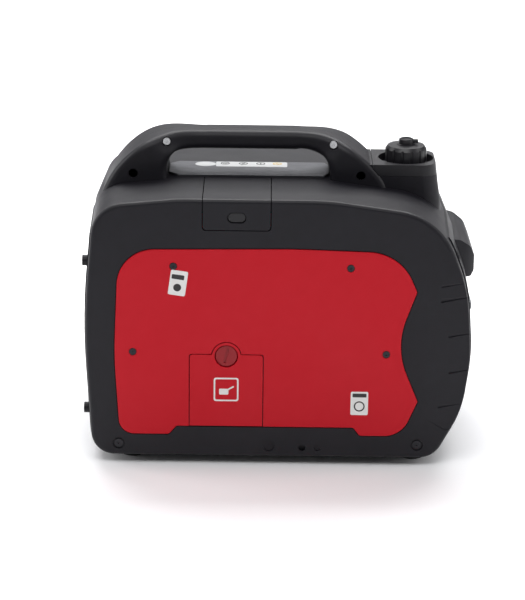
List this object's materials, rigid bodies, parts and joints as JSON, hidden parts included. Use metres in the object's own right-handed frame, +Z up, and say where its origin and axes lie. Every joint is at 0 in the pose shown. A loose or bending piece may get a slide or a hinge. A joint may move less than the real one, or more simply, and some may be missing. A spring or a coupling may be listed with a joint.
{
  "type": "portable generator",
  "caption": "Suitcase-style inverter generator: black moulded housing with carry handle, red service panel, screw fuel cap, socket panel and an opening oil door.",
  "frame": {"origin": "on the ground, at the centre of the machine's outline seen from above", "axes": "+X along the machine toward the control panel end, +Y across it away from the maintenance side, +Z up"},
  "size_m": [0.508, 0.29, 0.4165],
  "materials": {
    "black_moulding": "textured moulded ABS",
    "red_panel": "satin moulded ABS",
    "black_detail": "smooth moulded nylon",
    "rubber": "matt",
    "label_plate": "satin printed plate",
    "steel": "zinc plated",
    "dark_steel": "black oxide",
    "cast_aluminium": "as cast",
    "painted_metal": "black stove enamel",
    "copper_windings": "enamelled winding",
    "yellow_plastic": "moulded",
    "grey_plastic": "moulded",
    "blue_plastic": "moulded",
    "brass": "turned",
    "lamp": "clear tinted",
    "white_ceramic": "glazed",
    "rope": "braided"
  },
  "bodies": {
    "housing": {"left_side_cover": "black_moulding", "right_side_cover": "black_moulding", "left_side_panel": "red_panel", "right_side_panel": "red_panel", "base_tray": "black_moulding", "rubber_feet": "rubber", "control_panel": "black_moulding", "exhaust_end_cover": "black_moulding", "top_label_plate": "label_plate", "filler_surround": "black_detail", "fuel_tank": "black_detail", "ac_sockets": "blue_plastic", "dc_socket": "grey_plastic", "usb_ports": "grey_plastic", "indicator_lamps": "lamp", "parallel_jacks": "grey_plastic", "ground_stud": "brass", "exhaust_outlet_guard": "dark_steel", "side_panel_screws": "dark_steel", "base_rim_screws": "dark_steel", "handle_screws": "steel", "handle_nuts": "steel", "end_cover_screws": "dark_steel", "starter_rope": "rope", "recoil_housing": "black_detail", "crankcase": "cast_aluminium", "cylinder": "cast_aluminium", "cylinder_head": "cast_aluminium", "rocker_cover": "painted_metal", "spark_plug": "white_ceramic", "spark_plug_cap": "rubber", "engine_mounts": "rubber", "stator": "copper_windings", "carburettor": "cast_aluminium", "air_filter_box": "black_detail", "muffler": "painted_metal", "inverter_unit": "cast_aluminium"},
    "crank_group": {"crankshaft": "steel", "flywheel_rotor": "steel", "cooling_fan": "black_detail"},
    "reel": {"recoil_reel": "grey_plastic"},
    "grip": {"starter_grip": "black_detail"},
    "filler_plug": {"fuel_cap_insert": "black_detail", "fuel_cap_gasket": "rubber"},
    "cap_shell": {"fuel_cap": "black_detail"},
    "vent_lever": {"fuel_cap_vent_lever": "black_detail"},
    "spark_door": {"spark_plug_door": "black_moulding"},
    "spark_latch": {"spark_door_latch": "black_detail"},
    "oil_door": {"oil_service_door": "red_panel"},
    "oil_knob": {"oil_door_knob": "red_panel"},
    "switch_dial": {"engine_switch_dial": "red_panel"},
    "socket_lid_1": {"ac_socket_lid_1": "blue_plastic"},
    "socket_lid_2": {"ac_socket_lid_2": "blue_plastic"},
    "dc_cap": {"dc_socket_cap": "rubber"},
    "eco_rocker": {"eco_switch": "black_detail"},
    "dc_breaker": {"dc_breaker_button": "grey_plastic"},
    "reset_button": {"overload_reset_button": "red_panel"},
    "ground_nut": {"ground_wing_nut": "brass"},
    "dipstick": {"oil_filler_cap": "yellow_plastic"}
  },
  "joints": [
    {"name": "crank_spin", "type": "hinge", "parent": "housing", "child": "crank_group", "pos_m": [-0.04, 0, 0.128], "axis": [0, 1, 0], "continuous": true},
    {"name": "grip_pull", "type": "slide", "parent": "housing", "child": "grip", "axis": [0, 1, 0], "range_m": [0, 0.45], "stiffness_N_per_m": 12, "springref_m": -0.25},
    {"name": "reel_spin", "type": "hinge", "parent": "housing", "child": "reel", "pos_m": [-0.04, 0.11, 0.128], "axis": [0, 1, 0], "range_deg": [0, 800]},
    {"name": "cap_lift", "type": "slide", "parent": "housing", "child": "filler_plug", "axis": [0, 0, 1], "range_m": [0, 0.05]},
    {"name": "cap_turn", "type": "hinge", "parent": "filler_plug", "child": "cap_shell", "pos_m": [0.164, 0, 0.38], "axis": [0, 0, 1], "range_deg": [0, 180]},
    {"name": "vent_turn", "type": "hinge", "parent": "cap_shell", "child": "vent_lever", "pos_m": [0.164, 0, 0.4], "axis": [0, 0, 1], "range_deg": [0, 90]},
    {"name": "spark_door_swing", "type": "hinge", "parent": "housing", "child": "spark_door", "pos_m": [-0.05525, -0.0383, 0.3588], "axis": [-1, 0, 0], "range_deg": [0, 70]},
    {"name": "spark_latch_push", "type": "slide", "parent": "spark_door", "child": "spark_latch", "axis": [0, 1, 0], "range_m": [0, 0.0018], "stiffness_N_per_m": 800, "springref_m": -0.001},
    {"name": "oil_door_swing", "type": "hinge", "parent": "housing", "child": "oil_door", "pos_m": [-0.067, -0.145, 0.0546], "axis": [1, 0, 0], "range_deg": [0, 90]},
    {"name": "oil_knob_turn", "type": "hinge", "parent": "oil_door", "child": "oil_knob", "pos_m": [-0.067, -0.14, 0.15], "axis": [0, -1, 0], "range_deg": [0, 90]},
    {"name": "switch_dial_turn", "type": "hinge", "parent": "housing", "child": "switch_dial", "pos_m": [0.231, -0.072, 0.205], "axis": [-1, 0, 0], "range_deg": [0, 110]},
    {"name": "socket_lid_1_swing", "type": "hinge", "parent": "housing", "child": "socket_lid_1", "pos_m": [0.2379, -0.04, 0.1648], "axis": [0, -1, 0], "range_deg": [0, 95], "stiffness_Nm_per_rad": 0.012, "springref_deg": -22.92},
    {"name": "socket_lid_2_swing", "type": "hinge", "parent": "housing", "child": "socket_lid_2", "pos_m": [0.2379, 0.034, 0.1648], "axis": [0, -1, 0], "range_deg": [0, 95], "stiffness_Nm_per_rad": 0.012, "springref_deg": -22.92},
    {"name": "dc_cap_swing", "type": "hinge", "parent": "housing", "child": "dc_cap", "pos_m": [0.2356, 0.086, 0.1665], "axis": [0, -1, 0], "range_deg": [0, 95]},
    {"name": "eco_rock", "type": "hinge", "parent": "housing", "child": "eco_rocker", "pos_m": [0.231, 0.076, 0.208], "axis": [0, 1, 0], "range_deg": [0, 10]},
    {"name": "dc_breaker_push", "type": "slide", "parent": "housing", "child": "dc_breaker", "axis": [-1, 0, 0], "range_m": [0, 0.0025], "stiffness_N_per_m": 500, "springref_m": -0.001},
    {"name": "reset_push", "type": "slide", "parent": "housing", "child": "reset_button", "axis": [-1, 0, 0], "range_m": [0, 0.0025], "stiffness_N_per_m": 500, "springref_m": -0.001},
    {"name": "ground_nut_turn", "type": "hinge", "parent": "housing", "child": "ground_nut", "pos_m": [0.231, 0.08, 0.09], "axis": [1, 0, 0], "range_deg": [0, 360]},
    {"name": "dipstick_turn", "type": "hinge", "parent": "housing", "child": "dipstick", "pos_m": [-0.067, -0.108, 0.098], "axis": [0, -1, 0], "range_deg": [0, 360]}
  ],
  "couplings": [
    {"joint": "reel_spin", "follows": "grip_pull", "rad_per_m": 30.303}
  ]
}
